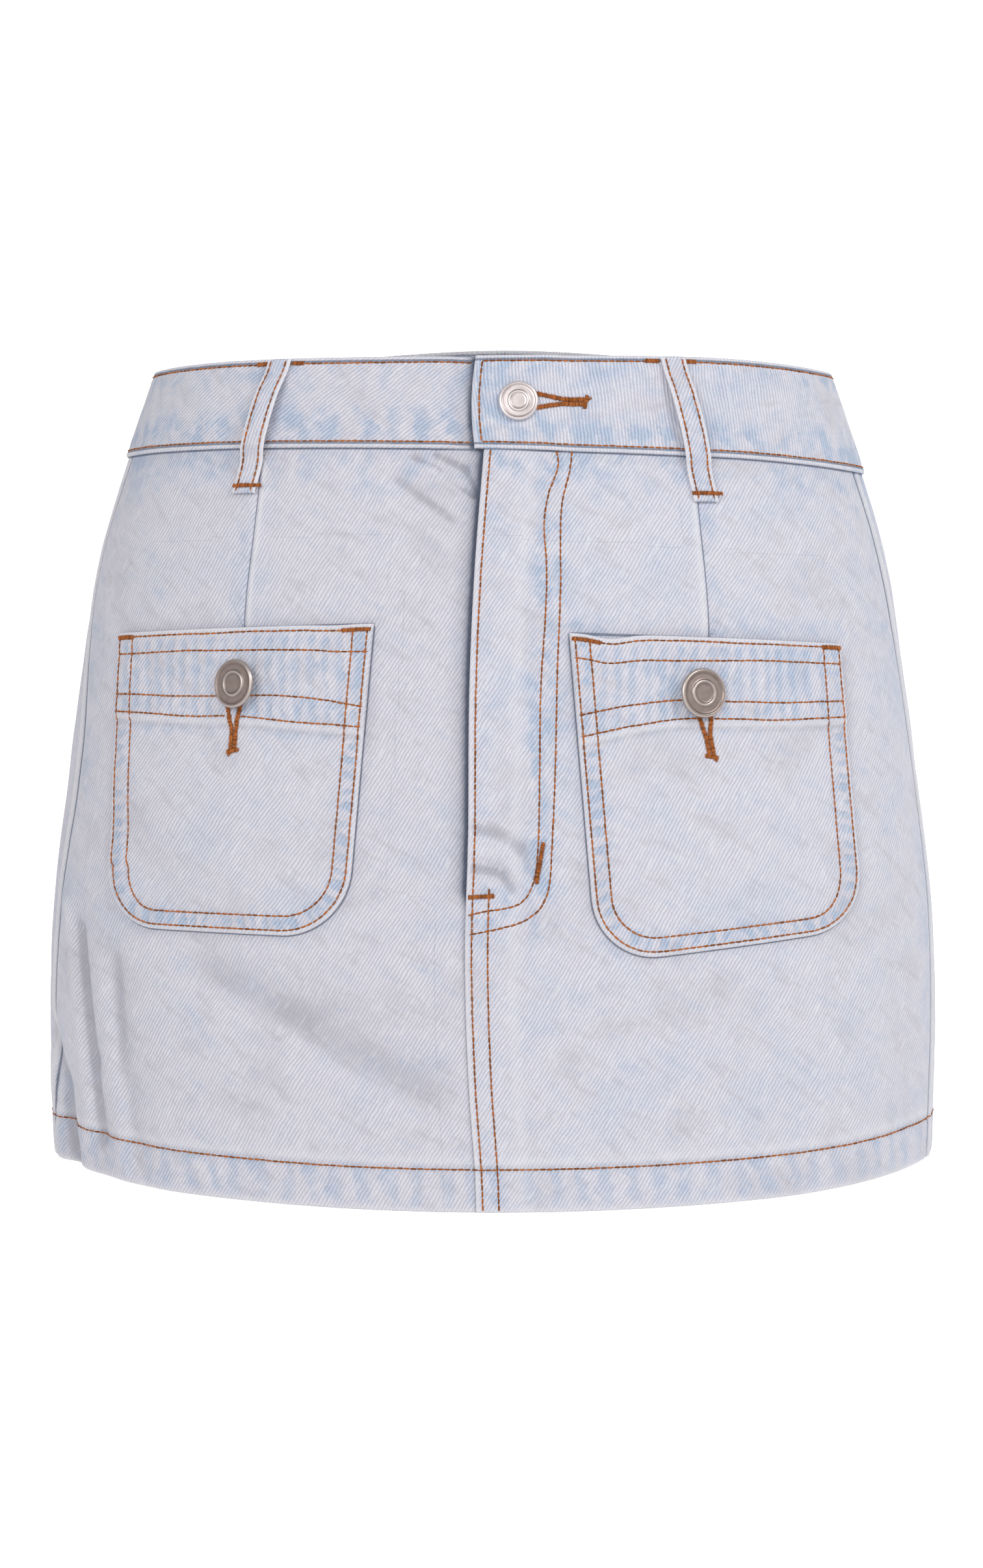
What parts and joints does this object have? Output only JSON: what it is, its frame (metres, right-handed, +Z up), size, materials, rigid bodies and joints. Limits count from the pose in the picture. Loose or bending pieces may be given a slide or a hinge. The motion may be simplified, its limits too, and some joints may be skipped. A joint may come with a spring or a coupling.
{
  "type": "denim mini skirt",
  "caption": "Light-wash denim mini skirt in its worn hollow form, with a zip fly, belt loops, darted panels and buttoned patch pockets.",
  "frame": {"origin": "centre of the waist opening, where the wearer's waist holds the skirt, level with the waistband's top edge at centre front", "axes": "+Z up the wearer, the front faces -Y, +X towards the wearer's left"},
  "size_m": [0.3938, 0.2421, 0.3785],
  "materials": {
    "denim": "bleached right-hand twill denim, matte",
    "denim_band": "bleached twill denim cut on its own grain, matte",
    "pale_pewter": "pale pinkish silver, softly polished",
    "dark_pewter": "darker antique pewter, satin",
    "zip_tape": "woven tape with a closed chain of teeth",
    "zip_metal": "dull brass"
  },
  "bodies": {
    "root": {"front_right": "denim", "front_left": "denim", "back_right": "denim", "back_left": "denim", "pocket_right": "denim", "pocket_left": "denim", "waistband_right": "denim_band", "waistband_left": "denim_band", "belt_loop_front_right": "denim_band", "belt_loop_front_left": "denim_band", "belt_loop_back_right": "denim_band", "belt_loop_back_left": "denim_band", "belt_loop_back_centre": "denim_band", "button_waist": "pale_pewter", "button_pocket_right": "dark_pewter", "button_pocket_left": "dark_pewter", "zip": "zip_tape", "zip_slider": "zip_metal"}
  },
  "joints": []
}
